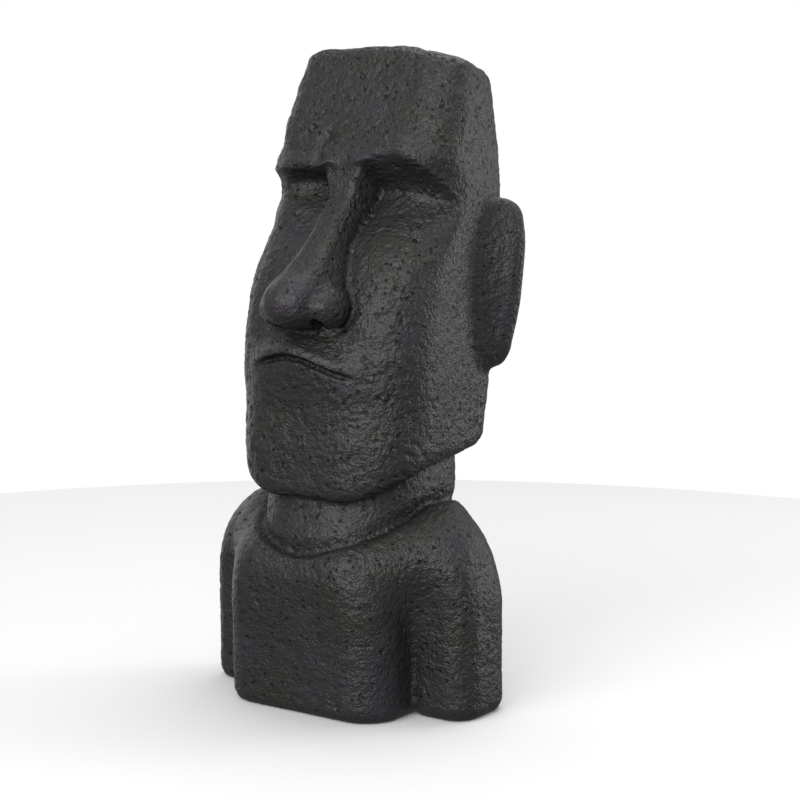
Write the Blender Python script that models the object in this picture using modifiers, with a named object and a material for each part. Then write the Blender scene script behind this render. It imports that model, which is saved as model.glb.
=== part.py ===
"""Moai garden statue: one dark cast-stone bust.

The statue is a single casting, so it is a single solid. A form function gives,
for any point, about how far it lies outside the statue. The surface is laid
through a grid of cells where that form changes sign, because no modelling tool
follows such a form. Blender then thins the mesh out, cuts it flat at the ground
and mirrors it. Sizes are in metres. The statue faces -Y, +Z is up and the
ground is z = 0.
"""
import bmesh
import bpy
import numpy as np
from mathutils import Vector

# Overall size of the statue.
HEIGHT = 0.535
WIDTH = 0.265
DEPTH = 0.190

# Head block. Each pair is a height and the size of the block there.
HEAD_HALF_WIDTH = ((0.150, 0.0860), (0.210, 0.0890), (0.270, 0.0915), (0.400, 0.0935),
                   (0.440, 0.0920), (0.500, 0.0860), (0.540, 0.0800))
FACE_FRONT = ((0.150, -0.0655), (0.210, -0.0640), (0.245, -0.0580), (0.285, -0.0550),
              (0.335, -0.0445), (0.385, -0.0165), (0.415, -0.0040), (0.437, -0.0080),
              (0.464, 0.0060), (0.540, 0.0420))
FACE_CORNER = ((0.150, 0.062), (0.210, 0.058), (0.280, 0.050), (0.420, 0.048),
               (0.455, 0.036), (0.540, 0.028))
HEAD_BACK = ((0.160, 0.0700), (0.215, 0.0770), (0.270, 0.0845), (0.340, 0.0920),
             (0.430, 0.0950), (0.540, 0.0920))
HEAD_BACK_CORNER = 0.016
HEAD_STEEPNESS = 0.80

# Crown: the top falls away towards both sides and towards the back.
CROWN_RISE = 0.0005
CROWN_SIDE_FALL = 0.45
CROWN_BACK_START = 0.030
CROWN_BACK_SLOPE = 0.240
CROWN_EDGE = 0.011

# Jaw: its underside climbs from the chin to the back of the head.
JAW_UNDERSIDE = ((-0.090, 0.162), (-0.060, 0.1640), (-0.038, 0.175), (0.005, 0.190),
                 (0.034, 0.196), (0.080, 0.205))
JAW_SIDE_RISE = 0.62
JAW_FRONT_EDGE = 0.022
JAW_BACK_EDGE = 0.012
JAW_EDGE_CHANGE = (-0.020, 0.040)
JAW_STEEPNESS = 0.90

# Brow: the crest arches over each eye socket, the valley is the socket's floor.
# Each pair is a distance from the middle of the face and the size there.
BROW_CREST = ((0.000, 0.4370), (0.016, 0.4390), (0.035, 0.4470), (0.050, 0.4490),
              (0.063, 0.4440), (0.075, 0.4338), (0.086, 0.4178), (0.093, 0.4010))
SOCKET_FLOOR = ((0.000, 0.4170), (0.050, 0.4148), (0.075, 0.4078), (0.093, 0.4010))
SOCKET_DEPTH = ((0.000, 0.0000), (0.010, 0.0025), (0.021, 0.0185), (0.050, 0.0170),
                (0.075, 0.0145), (0.086, 0.0090), (0.0925, 0.0000))
SOCKET_LEAST_HEIGHT = 0.008
SOCKET_CHEEK_HEIGHT = 0.045
SOCKET_CHEEK_BEND = 0.4
BROW_BULGE = 0.005
BROW_BULGE_HEIGHT = 0.011
BROW_BULGE_END = (0.060, 0.085)
BROW_MIDDLE = (0.000, 0.022)
BROW_MIDDLE_SHARE = 0.45
BROW_UNDERSIDE_BEND = 0.30

# Mouth: the lips follow an arch and stand out from the face. The drop says how
# far the arch falls at each distance from its middle. Each pair of the lip
# profile is a height above the arch and how far the lips stand out there.
# The groove between the lips is a notch in that profile.
MOUTH_HEIGHT = 0.2877
MOUTH_DROP = ((0.000, 0.0000), (0.010, 0.0009), (0.020, 0.0032), (0.035, 0.0075),
              (0.066, 0.0160))
MOUTH_HALF_WIDTH = 0.050
LIP_PROFILE = ((-0.085, 0.0000), (-0.060, 0.0020), (-0.035, 0.0075), (-0.015, 0.0130),
               (-0.003, 0.0155), (0.002, 0.0185), (0.005, 0.0200), (0.009, 0.0190),
               (0.016, 0.0120), (0.023, 0.0055), (0.031, 0.0015), (0.042, 0.0000))
LIP_HALF_WIDTH = 0.066
LIP_FADE = 1.6
LIP_GROOVE_DEPTH = 0.0048
LIP_GROOVE_WIDTH = 0.0030

# Nose: the ridge runs from the brow to a round tip with a wing on each side.
NOSE_RIDGE = ((0.305, -0.0630), (0.312, -0.0800), (0.322, -0.0905), (0.330, -0.0915),
              (0.338, -0.0880), (0.356, -0.0655), (0.374, -0.0470), (0.392, -0.0305),
              (0.416, -0.0125), (0.432, -0.0105), (0.446, -0.0060), (0.462, 0.0080))
NOSE_HALF_WIDTH = ((0.305, 0.0160), (0.330, 0.0200), (0.356, 0.0175), (0.374, 0.0145),
                   (0.399, 0.0140), (0.416, 0.0165), (0.430, 0.0210), (0.446, 0.0300))
NOSE_FLARE = 0.34
NOSE_FLARE_START = 0.005
NOSE_RIDGE_EDGE = 0.009
NOSE_ROOT_DEPTH = 0.040
NOSE_TOP = 0.462
NOSE_TOP_EDGE = 0.006
NOSE_UNDERSIDE = 0.3085
NOSE_UNDERSIDE_EDGE = 0.010
NOSE_STEEPNESS = 0.72
NOSE_TIP_CENTRE = (0.0, -0.0700, 0.3300)
NOSE_TIP_RADII = (0.0205, 0.0250, 0.0225)
NOSE_TIP_BLEND = 0.007
NOSE_WING_CENTRE = (0.0240, -0.0550, 0.3250)
NOSE_WING_RADII = (0.0170, 0.0240, 0.0185)
NOSE_WING_BLEND = 0.005
NOSTRIL_CENTRE = (0.0228, -0.0615, 0.3140)
NOSTRIL_RADII = (0.0068, 0.0130, 0.0125)
NOSTRIL_EDGE = 0.003
NOSE_FACE_BLEND = 0.004

# Ear: a long slab that leans outwards and backwards from the side of the head.
EAR_REACH = ((0.262, 0.0990), (0.272, 0.1050), (0.290, 0.1145), (0.336, 0.1210),
             (0.370, 0.1225), (0.395, 0.1190), (0.408, 0.1125), (0.420, 0.1000))
EAR_FRONT = ((0.262, 0.0560), (0.271, 0.0520), (0.298, 0.0440), (0.340, 0.0435),
             (0.370, 0.0460), (0.406, 0.0535), (0.420, 0.0580))
EAR_ROOT = 0.090
EAR_RUN = 0.032
EAR_THICKNESS = 0.027
EAR_BACK_SLOPE = 0.45
EAR_MIDDLE = 0.3405
EAR_HALF_HEIGHT = 0.0735
EAR_RIM_EDGE = 0.012
EAR_BACK_EDGE = 0.010
EAR_INNER_LIMIT = 0.084
EAR_FRONT_LIMIT = 0.012
EAR_BLEND = 0.005

# Neck: a short column that widens where it meets the chest.
NECK_FRONT = ((0.125, -0.0690), (0.142, -0.0665), (0.155, -0.0620), (0.170, -0.0585),
              (0.200, -0.0560))
NECK_HALF_WIDTH = ((0.125, 0.0790), (0.160, 0.0745), (0.200, 0.0735))
NECK_BACK = 0.070
NECK_FRONT_CORNER = 0.068
NECK_BACK_CORNER = 0.030
NECK_TOP = 0.230
NECK_TOP_EDGE = 0.010
NECK_BLEND = 0.003

# Torso: a chest block and an arm against each side of it.
CHEST_HALF_WIDTH = 0.0815
CHEST_FRONT = ((0.000, -0.0750), (0.060, -0.0760), (0.110, -0.0795), (0.160, -0.0795))
CHEST_BACK = 0.080
CHEST_FRONT_CORNER = ((0.000, 0.034), (0.080, 0.036), (0.120, 0.046), (0.160, 0.062))
CHEST_BACK_CORNER = 0.040
ARM_MIDDLE = 0.1005
ARM_HALF_WIDTH = 0.0320
ARM_FRONT = -0.0260
ARM_BACK = 0.0500
ARM_FRONT_CORNER = 0.0240
ARM_BACK_CORNER = 0.0300
GROOVE_EDGE_LOW = 0.005
GROOVE_EDGE_HIGH = 0.060
GROOVE_FADE = (0.040, 0.150)

# Top of the chest and the shoulders, by depth, by distance from the middle and
# along the diagonal to the back of the arms.
SHOULDER_BY_DEPTH = ((-0.090, 0.128), (-0.065, 0.135), (-0.012, 0.158), (0.012, 0.166),
                     (0.040, 0.165), (0.100, 0.152))
SHOULDER_BY_SIDE = ((0.000, 0.000), (0.050, 0.005), (0.085, 0.003), (0.100, -0.002),
                    (0.112, -0.010), (0.124, -0.022), (0.1325, -0.040))
SHOULDER_DIAGONAL = (0.8, 0.6)
SHOULDER_BY_DIAGONAL = ((0.085, 0.176), (0.101, 0.155), (0.112, 0.140), (0.121, 0.125),
                        (0.127, 0.110), (0.135, 0.085))
SHOULDER_DIAGONAL_BLEND = 0.010
COLLAR_EDGE = 0.018
SHOULDER_EDGE = 0.026
SHOULDER_EDGE_CHANGE = (0.040, 0.090)
SHOULDER_STEEPNESS = 0.72
TORSO_BLEND = 0.006
BASE_EDGE = 0.012
BASE_DROP = 0.0010

# Meshing: the grid starts and ends a few cells outside the +X half of the form,
# which runs on a little beyond the two planes that it is cut at.
GRID_STEP = 0.0023
GRID_ROOM = 0.012
CUT_MARGIN = 0.012
CARVING_PASSES = 3
CARVING_STEP = 0.001
SLOPE_SAMPLE = 0.0002
SMALLEST_SLOPE = 0.05
SOLID_TRIANGLES = 10900
CUT_SNAP = 0.0004
MERGE_DISTANCE = 0.0001
SMALLEST_EDGE = 0.00002

# Material, as linear colour.
STONE_COLOUR = (0.046, 0.045, 0.047, 1.0)
STONE_ROUGHNESS = 0.62
STONE_METALLIC = 0.0


def smooth_min(first, second, reach):
    """Lower of two fields, rounded where they are closer than reach."""
    mix = np.clip(0.5 + 0.5 * (second - first) / reach, 0.0, 1.0)
    return second + (first - second) * mix - reach * mix * (1.0 - mix)


def smooth_max(first, second, reach):
    """Higher of two fields, rounded where they are closer than reach."""
    return -smooth_min(-first, -second, reach)


def ease(value, limits):
    """Smooth step from 0 to 1 between two limits."""
    part = np.clip((value - limits[0]) / (limits[1] - limits[0]), 0.0, 1.0)
    return part * part * (3.0 - 2.0 * part)


def profile(value, stations):
    """Smooth curve through pairs of position and size, without overshoot."""
    places = np.array([station[0] for station in stations])
    sizes = np.array([station[1] for station in stations])
    widths = np.diff(places)
    rises = np.diff(sizes) / widths
    products = rises[:-1] * rises[1:]
    sums = np.where(products > 0.0, rises[:-1] + rises[1:], 1.0)
    inner = np.where(products > 0.0, 2.0 * products / sums, 0.0)
    slopes = np.concatenate((rises[:1], inner, rises[-1:]))
    value = np.clip(value, places[0], places[-1])
    span = np.clip(np.searchsorted(places, value) - 1, 0, len(widths) - 1)
    part = (value - places[span]) / widths[span]
    rest = 1.0 - part
    start = (1.0 + 2.0 * part) * rest**2 * sizes[span]
    end = part**2 * (3.0 - 2.0 * part) * sizes[span + 1]
    bend = part * rest * (rest * slopes[span] - part * slopes[span + 1])
    return start + end + bend * widths[span]


def rounded_section(x, y, half_width, front, back, front_corner, back_corner):
    """Distance to a level section whose front and back corners are rounded."""
    middle = 0.5 * (front + back)
    corner = np.where(y < middle, front_corner, back_corner)
    across = np.abs(x) - half_width + corner
    along = np.abs(y - middle) - 0.5 * (back - front) + corner
    outside = np.hypot(np.maximum(across, 0.0), np.maximum(along, 0.0))
    return outside + np.minimum(np.maximum(across, along), 0.0) - corner


def ellipsoid(x, y, z, centre, radii):
    """Rough distance to an ellipsoid, right to scale near its surface."""
    scaled = np.sqrt(((x - centre[0]) / radii[0])**2
                     + ((y - centre[1]) / radii[1])**2
                     + ((z - centre[2]) / radii[2])**2)
    return (scaled - 1.0) * min(radii)


def brow_and_socket(side, z):
    """How far the face steps back in the sockets, less the brow's bulge."""
    crest = profile(side, BROW_CREST)
    floor = profile(side, SOCKET_FLOOR)
    upper = np.clip((crest - z) / np.maximum(crest - floor, SOCKET_LEAST_HEIGHT), 0.0, 1.0)
    upper += BROW_UNDERSIDE_BEND * (ease(upper, (0.0, 1.0)) - upper)
    lower = np.clip((z - floor + SOCKET_CHEEK_HEIGHT) / SOCKET_CHEEK_HEIGHT, 0.0, 1.0)
    lower += SOCKET_CHEEK_BEND * (ease(lower, (0.0, 1.0)) - lower)
    bulge = BROW_BULGE * np.exp(-((z - crest) / BROW_BULGE_HEIGHT)**2)
    bulge *= 1.0 - ease(side, BROW_BULGE_END)
    bulge *= BROW_MIDDLE_SHARE + (1.0 - BROW_MIDDLE_SHARE) * ease(side, BROW_MIDDLE)
    return profile(side, SOCKET_DEPTH) * np.minimum(upper, lower) - bulge


def above_lip_line(side, z):
    """Height above the arch of the mouth."""
    return z - MOUTH_HEIGHT + profile(side, MOUTH_DROP)


def lips(side, z):
    """How far the lips stand out from the face."""
    height = above_lip_line(side, z)
    fade = np.clip(1.0 - (side / LIP_HALF_WIDTH)**2, 0.0, 1.0)**LIP_FADE
    groove = np.clip(1.0 - (side / MOUTH_HALF_WIDTH)**4, 0.0, 1.0)
    groove *= LIP_GROOVE_DEPTH * np.exp(-(height / LIP_GROOVE_WIDTH)**2)
    return profile(height, LIP_PROFILE) * fade - groove


def head(x, y, z):
    """Head block with brow, sockets, lips, crown and jaw."""
    side = np.abs(x)
    front = profile(z, FACE_FRONT) + brow_and_socket(side, z) - lips(side, z)
    field = HEAD_STEEPNESS * rounded_section(
        x, y, profile(z, HEAD_HALF_WIDTH), front, profile(z, HEAD_BACK),
        profile(z, FACE_CORNER), HEAD_BACK_CORNER)
    crown_fall = CROWN_SIDE_FALL * x**2
    crown_fall += CROWN_BACK_SLOPE * np.maximum(y - CROWN_BACK_START, 0.0)
    field = smooth_max(field, z - HEIGHT - CROWN_RISE + crown_fall, CROWN_EDGE)
    jaw = JAW_STEEPNESS * (profile(y, JAW_UNDERSIDE) + JAW_SIDE_RISE * x**2 - z)
    jaw_edge = JAW_FRONT_EDGE + (JAW_BACK_EDGE - JAW_FRONT_EDGE) * ease(y, JAW_EDGE_CHANGE)
    return smooth_max(field, jaw, jaw_edge)


def nose(x, y, z):
    """Ridge, round tip, wings and nostrils."""
    side = np.abs(x)
    ridge = profile(z, NOSE_RIDGE)
    flare = NOSE_FLARE * np.maximum(y - ridge - NOSE_FLARE_START, 0.0)
    field = NOSE_STEEPNESS * rounded_section(
        x, y, profile(z, NOSE_HALF_WIDTH) + flare, ridge, NOSE_ROOT_DEPTH,
        NOSE_RIDGE_EDGE, NOSE_RIDGE_EDGE)
    field = smooth_max(field, z - NOSE_TOP, NOSE_TOP_EDGE)
    field = smooth_max(field, NOSE_UNDERSIDE - z, NOSE_UNDERSIDE_EDGE)
    tip = ellipsoid(x, y, z, NOSE_TIP_CENTRE, NOSE_TIP_RADII)
    field = smooth_min(field, tip, NOSE_TIP_BLEND)
    wing = ellipsoid(side, y, z, NOSE_WING_CENTRE, NOSE_WING_RADII)
    field = smooth_min(field, wing, NOSE_WING_BLEND)
    nostril = ellipsoid(side, y, z, NOSTRIL_CENTRE, NOSTRIL_RADII)
    return smooth_max(field, -nostril, NOSTRIL_EDGE)


def ears(x, y, z):
    """Both ear slabs."""
    side = np.abs(x)
    reach = profile(z, EAR_REACH)
    front = profile(z, EAR_FRONT)
    lean = (reach - EAR_ROOT) / EAR_RUN
    outer = (side - EAR_ROOT - lean * (y - front)) / np.hypot(1.0, lean)
    field = smooth_max(outer, side - reach, EAR_RIM_EDGE)
    back = y - front - EAR_THICKNESS - EAR_BACK_SLOPE * (side - EAR_ROOT)
    field = smooth_max(field, back / np.hypot(1.0, EAR_BACK_SLOPE), EAR_BACK_EDGE)
    ends = np.abs(z - EAR_MIDDLE) - EAR_HALF_HEIGHT
    field = smooth_max(field, ends, EAR_RIM_EDGE)
    return np.maximum(field, np.maximum(EAR_INNER_LIMIT - side, front - EAR_FRONT_LIMIT - y))


def neck(x, y, z):
    """Column between the jaw and the chest."""
    field = rounded_section(
        x, y, profile(z, NECK_HALF_WIDTH), profile(z, NECK_FRONT), NECK_BACK,
        NECK_FRONT_CORNER, NECK_BACK_CORNER)
    return smooth_max(field, z - NECK_TOP, NECK_TOP_EDGE)


def torso(x, y, z):
    """Chest, arms and the grooves between them, under the shoulders."""
    side = np.abs(x)
    chest = rounded_section(
        x, y, CHEST_HALF_WIDTH, profile(z, CHEST_FRONT), CHEST_BACK,
        profile(z, CHEST_FRONT_CORNER), CHEST_BACK_CORNER)
    arm = rounded_section(
        side - ARM_MIDDLE, y, ARM_HALF_WIDTH, ARM_FRONT, ARM_BACK,
        ARM_FRONT_CORNER, ARM_BACK_CORNER)
    groove_edge = GROOVE_EDGE_LOW + (GROOVE_EDGE_HIGH - GROOVE_EDGE_LOW) * ease(z, GROOVE_FADE)
    field = smooth_min(chest, arm, groove_edge)
    top = profile(y, SHOULDER_BY_DEPTH) + profile(side, SHOULDER_BY_SIDE)
    diagonal = SHOULDER_DIAGONAL[0] * side + SHOULDER_DIAGONAL[1] * y
    top = smooth_min(top, profile(diagonal, SHOULDER_BY_DIAGONAL), SHOULDER_DIAGONAL_BLEND)
    edge = COLLAR_EDGE + (SHOULDER_EDGE - COLLAR_EDGE) * ease(side, SHOULDER_EDGE_CHANGE)
    return smooth_max(field, SHOULDER_STEEPNESS * (z - top), edge)


def statue_form(points):
    """About how far each point lies outside the +X half and its cut margin."""
    x, y, z = points[:, 0], points[:, 1], points[:, 2]
    field = smooth_min(head(x, y, z), nose(x, y, z), NOSE_FACE_BLEND)
    field = smooth_min(field, ears(x, y, z), EAR_BLEND)
    field = smooth_min(field, neck(x, y, z), NECK_BLEND)
    field = smooth_min(field, torso(x, y, z), TORSO_BLEND)
    field = smooth_max(field, -BASE_DROP - z, BASE_EDGE)
    return np.maximum(field, -CUT_MARGIN - x)


def form_slope(points):
    """Slope of the form along the three axes."""
    slope = np.empty_like(points)
    for axis in range(3):
        shift = np.zeros(3)
        shift[axis] = SLOPE_SAMPLE
        rise = statue_form(points + shift) - statue_form(points - shift)
        slope[:, axis] = rise / (2.0 * SLOPE_SAMPLE)
    return slope


def carve(mesh):
    """Move the vertices of a mesh onto the form, a limited step at a time."""
    points = np.empty(len(mesh.vertices) * 3)
    mesh.vertices.foreach_get("co", points)
    points = points.reshape(-1, 3)
    for _ in range(CARVING_PASSES):
        slope = form_slope(points)
        steepness = np.maximum((slope**2).sum(axis=1), SMALLEST_SLOPE)
        step = np.clip(statue_form(points) / np.sqrt(steepness), -CARVING_STEP, CARVING_STEP)
        points -= slope * (step / np.sqrt(steepness))[:, None]
    mesh.vertices.foreach_set("co", points.ravel())
    mesh.update()


def apply_modifier(obj, kind, settings):
    """Add one modifier, keep its result as the object's mesh and drop it."""
    modifier = obj.modifiers.new(kind.lower(), kind)
    for name, value in settings.items():
        setattr(modifier, name, value)
    graph = bpy.context.evaluated_depsgraph_get()
    result = bpy.data.meshes.new_from_object(obj.evaluated_get(graph))
    obj.modifiers.remove(modifier)
    old = obj.data
    obj.data = result
    bpy.data.meshes.remove(old)


def sample_form():
    """Points of a grid around the +X half of the statue and the form there."""
    low = np.array((-CUT_MARGIN, -0.5 * DEPTH, 0.0)) - GRID_ROOM
    high = np.array((0.5 * WIDTH, 0.5 * DEPTH, HEIGHT)) + GRID_ROOM
    lines = [np.arange(low[axis], high[axis], GRID_STEP) for axis in range(3)]
    points = np.stack(np.meshgrid(*lines, indexing="ij"), axis=-1)
    values = statue_form(points.reshape(-1, 3)).reshape(points.shape[:3])
    return points, values


def crossed_edges(points, values, axis):
    """Grid edges along one axis that pass through the surface."""
    start = np.argwhere(np.diff((values < 0.0).astype(int), axis=axis) != 0)
    end = start.copy()
    end[:, axis] += 1
    first = values[tuple(start.T)]
    last = values[tuple(end.T)]
    part = (first / (first - last))[:, None]
    crossing = (1.0 - part) * points[tuple(start.T)] + part * points[tuple(end.T)]
    return start, crossing, first < 0.0


def cells_around(start, axis, shape):
    """Numbers of the four cells around each grid edge, in turning order."""
    cells = []
    for back in ((0, 0), (1, 0), (1, 1), (0, 1)):
        cell = start.copy()
        cell[:, (axis + 1) % 3] -= back[0]
        cell[:, (axis + 2) % 3] -= back[1]
        cells.append(np.ravel_multi_index(cell.T, shape))
    return np.stack(cells, axis=1)


def make_skin():
    """Mesh with a vertex in each crossed cell and a quad at each crossed edge."""
    points, values = sample_form()
    total = np.zeros((values.size, 3))
    count = np.zeros(values.size)
    quads = []
    for axis in range(3):
        start, crossing, leaves = crossed_edges(points, values, axis)
        quad = cells_around(start, axis, values.shape)
        for corner in range(4):
            np.add.at(total, quad[:, corner], crossing)
            np.add.at(count, quad[:, corner], 1.0)
        quads.append(np.where(leaves[:, None], quad, quad[:, ::-1]))
    used, numbers = np.unique(np.concatenate(quads), return_inverse=True)
    corners = total[used] / count[used][:, None]
    mesh = bpy.data.meshes.new("moai_statue")
    mesh.from_pydata(corners.tolist(), [], numbers.reshape(-1, 4).tolist())
    return mesh


def thin_out(obj):
    """Turn the quads into triangles and drop those that add little."""
    apply_modifier(obj, "TRIANGULATE", {})
    ratio = 0.5 * SOLID_TRIANGLES / len(obj.data.polygons)
    apply_modifier(obj, "DECIMATE", {"ratio": ratio})


def cut(shape, normal):
    """Cut away what lies behind a plane through the origin."""
    parts = shape.verts[:] + shape.edges[:] + shape.faces[:]
    return bmesh.ops.bisect_plane(
        shape, geom=parts, dist=CUT_SNAP, plane_co=Vector(), plane_no=Vector(normal),
        use_snap_center=True, clear_inner=True)


def cut_ground_and_half(obj):
    """Cut the statue flat at the ground, cap it and keep the +X half."""
    shape = bmesh.new()
    shape.from_mesh(obj.data)
    cut(shape, (0.0, 0.0, 1.0))
    rim = [edge for edge in shape.edges if edge.is_boundary]
    bmesh.ops.triangle_fill(shape, edges=rim, use_beauty=True, normal=Vector((0.0, 0.0, -1.0)))
    cut(shape, (1.0, 0.0, 0.0))
    bmesh.ops.triangulate(shape, faces=shape.faces[:])
    bmesh.ops.dissolve_degenerate(shape, dist=SMALLEST_EDGE, edges=shape.edges[:])
    shape.to_mesh(obj.data)
    shape.free()


def fit_to_size(mesh):
    """Scale the mesh to the overall size and centre it above the origin."""
    points = np.empty(len(mesh.vertices) * 3)
    mesh.vertices.foreach_get("co", points)
    points = points.reshape(-1, 3)
    low, high = points.min(axis=0), points.max(axis=0)
    points *= np.array((WIDTH, DEPTH, HEIGHT)) / (high - low)
    middle = 0.5 * (points.min(axis=0) + points.max(axis=0))
    points[:, 1] -= middle[1]
    mesh.vertices.foreach_set("co", points.ravel())
    mesh.update()


def make_stone():
    """Dark cast stone with a dull satin surface."""
    material = bpy.data.materials.new("dark_cast_stone")
    material.use_nodes = True
    shader = material.node_tree.nodes["Principled BSDF"]
    shader.inputs["Base Color"].default_value = STONE_COLOUR
    shader.inputs["Roughness"].default_value = STONE_ROUGHNESS
    shader.inputs["Metallic"].default_value = STONE_METALLIC
    return material


def build_statue(collection):
    """Make the one solid of the statue."""
    mesh = make_skin()
    carve(mesh)
    obj = bpy.data.objects.new("moai_statue", mesh)
    collection.objects.link(obj)
    thin_out(obj)
    cut_ground_and_half(obj)
    apply_modifier(obj, "MIRROR", {"merge_threshold": MERGE_DISTANCE})
    fit_to_size(obj.data)
    obj.data.materials.clear()
    obj.data.materials.append(make_stone())
    obj.data.shade_smooth()
    return obj


def main():
    """Empty the scene and build the statue in its own collection."""
    for old in list(bpy.data.objects):
        bpy.data.objects.remove(old)
    collection = bpy.data.collections.new("moai_statue")
    bpy.context.scene.collection.children.link(collection)
    build_statue(collection)


main()
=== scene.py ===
"""Moai garden statue in dark cast stone: the finished look of its one casting.

The script lays a fine mesh over the same form as the CAD solid, with the small
differences between its two sides, adds the creases and eyelids, and weathers the
surface as a brushed and stippled casting. The piece replaces the CAD node and keeps
inside its box. Sizes are in metres.
"""

import math

import bmesh
import bpy
import numpy as np
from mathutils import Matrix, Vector


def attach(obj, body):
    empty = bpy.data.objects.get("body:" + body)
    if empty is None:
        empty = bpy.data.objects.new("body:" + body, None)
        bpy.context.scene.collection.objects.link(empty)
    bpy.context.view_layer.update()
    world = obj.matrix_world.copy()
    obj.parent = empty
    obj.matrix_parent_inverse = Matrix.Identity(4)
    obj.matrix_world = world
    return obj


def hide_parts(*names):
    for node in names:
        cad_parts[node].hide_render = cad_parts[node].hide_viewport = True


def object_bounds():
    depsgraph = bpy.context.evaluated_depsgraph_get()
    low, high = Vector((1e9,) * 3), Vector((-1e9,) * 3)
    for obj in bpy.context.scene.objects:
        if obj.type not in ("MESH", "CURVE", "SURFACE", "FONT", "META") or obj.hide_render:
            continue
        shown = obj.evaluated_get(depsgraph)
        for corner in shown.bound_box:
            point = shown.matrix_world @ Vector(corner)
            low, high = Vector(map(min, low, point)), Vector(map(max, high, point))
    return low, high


# Overall size of the statue.
HEIGHT = 0.535
WIDTH = 0.265
DEPTH = 0.190

# Head block. Each pair is a height and the size of the block there.
HEAD_HALF_WIDTH = ((0.150, 0.0860), (0.210, 0.0890), (0.270, 0.0915), (0.400, 0.0935),
                   (0.440, 0.0920), (0.500, 0.0860), (0.540, 0.0800))
FACE_FRONT = ((0.150, -0.0655), (0.210, -0.0640), (0.245, -0.0580), (0.285, -0.0550),
              (0.335, -0.0445), (0.385, -0.0165), (0.415, -0.0040), (0.437, -0.0080),
              (0.464, 0.0060), (0.540, 0.0420))
FACE_CORNER = ((0.150, 0.062), (0.210, 0.058), (0.280, 0.050), (0.420, 0.048),
               (0.455, 0.036), (0.540, 0.028))
HEAD_BACK = ((0.160, 0.0700), (0.215, 0.0770), (0.270, 0.0845), (0.340, 0.0920),
             (0.430, 0.0950), (0.540, 0.0920))
HEAD_BACK_CORNER = 0.016
HEAD_STEEPNESS = 0.80

# Crown: the top falls away towards both sides, more gently than the solid's, and
# towards the back. The further fall to the left is with the differences below.
CROWN_RISE = 0.0005
CROWN_SIDE_FALL = 0.10
CROWN_BACK_START = 0.045
CROWN_BACK_SLOPE = 0.300
CROWN_EDGE = 0.011

# Jaw: its underside climbs from the chin to the back of the head.
JAW_UNDERSIDE = ((-0.090, 0.162), (-0.060, 0.1640), (-0.038, 0.175), (0.005, 0.190),
                 (0.034, 0.196), (0.080, 0.205))
JAW_SIDE_RISE = 0.62
JAW_FRONT_EDGE = 0.022
JAW_BACK_EDGE = 0.012
JAW_EDGE_CHANGE = (-0.020, 0.040)
JAW_STEEPNESS = 0.90

# Brow: the crest arches over each eye socket, the valley is the socket's floor.
# Each pair is a distance from the middle of the face and the size there.
BROW_CREST = ((0.000, 0.4370), (0.016, 0.4390), (0.035, 0.4470), (0.050, 0.4490),
              (0.063, 0.4440), (0.075, 0.4338), (0.086, 0.4178), (0.093, 0.4010))
SOCKET_FLOOR = ((0.000, 0.4170), (0.050, 0.4148), (0.075, 0.4078), (0.093, 0.4010))
SOCKET_DEPTH = ((0.000, 0.0000), (0.010, 0.0025), (0.021, 0.0185), (0.050, 0.0170),
                (0.075, 0.0145), (0.086, 0.0090), (0.0925, 0.0000))
SOCKET_LEAST_HEIGHT = 0.008
SOCKET_CHEEK_HEIGHT = 0.045
SOCKET_CHEEK_BEND = 0.4
BROW_BULGE = 0.005
BROW_BULGE_HEIGHT = 0.011
BROW_BULGE_END = (0.060, 0.085)
BROW_MIDDLE = (0.000, 0.022)
BROW_MIDDLE_SHARE = 0.45
BROW_UNDERSIDE_BEND = 0.30

# Mouth: the lips follow an arch and stand out from the face. The drop says how
# far the arch falls at each distance from its middle. Each pair of the lip
# profile is a height above the arch and how far the lips stand out there.
# The groove between the lips is a notch in that profile. It is narrower, deeper and
# about 3 mm lower than the solid's, whose triangles are larger.
MOUTH_HEIGHT = 0.2850
MOUTH_DROP = ((0.000, 0.0000), (0.010, 0.0009), (0.020, 0.0032), (0.035, 0.0075),
              (0.066, 0.0160))
MOUTH_HALF_WIDTH = 0.050
LIP_PROFILE = ((-0.085, 0.0000), (-0.060, 0.0020), (-0.035, 0.0075), (-0.015, 0.0130),
               (-0.003, 0.0155), (0.002, 0.0185), (0.005, 0.0200), (0.009, 0.0190),
               (0.016, 0.0120), (0.023, 0.0055), (0.031, 0.0015), (0.042, 0.0000))
LIP_HALF_WIDTH = 0.066
LIP_FADE = 1.6
LIP_GROOVE_DEPTH = 0.0060
LIP_GROOVE_WIDTH = 0.0017

# Nose: the ridge runs from the brow to a round tip with a wing on each side.
NOSE_RIDGE = ((0.305, -0.0630), (0.312, -0.0800), (0.322, -0.0905), (0.330, -0.0915),
              (0.338, -0.0880), (0.356, -0.0655), (0.374, -0.0470), (0.392, -0.0305),
              (0.416, -0.0125), (0.432, -0.0105), (0.446, -0.0060), (0.462, 0.0080))
NOSE_HALF_WIDTH = ((0.305, 0.0160), (0.330, 0.0200), (0.356, 0.0175), (0.374, 0.0145),
                   (0.399, 0.0140), (0.416, 0.0165), (0.430, 0.0210), (0.446, 0.0300))
NOSE_FLARE = 0.34
NOSE_FLARE_START = 0.005
NOSE_RIDGE_EDGE = 0.009
NOSE_ROOT_DEPTH = 0.040
NOSE_TOP = 0.462
NOSE_TOP_EDGE = 0.006
NOSE_UNDERSIDE = 0.3085
NOSE_UNDERSIDE_EDGE = 0.010
NOSE_STEEPNESS = 0.72
NOSE_TIP_CENTRE = (0.0, -0.0700, 0.3300)
NOSE_TIP_RADII = (0.0205, 0.0250, 0.0225)
NOSE_TIP_BLEND = 0.007
NOSE_WING_CENTRE = (0.0240, -0.0550, 0.3250)
NOSE_WING_RADII = (0.0170, 0.0240, 0.0185)
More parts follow.
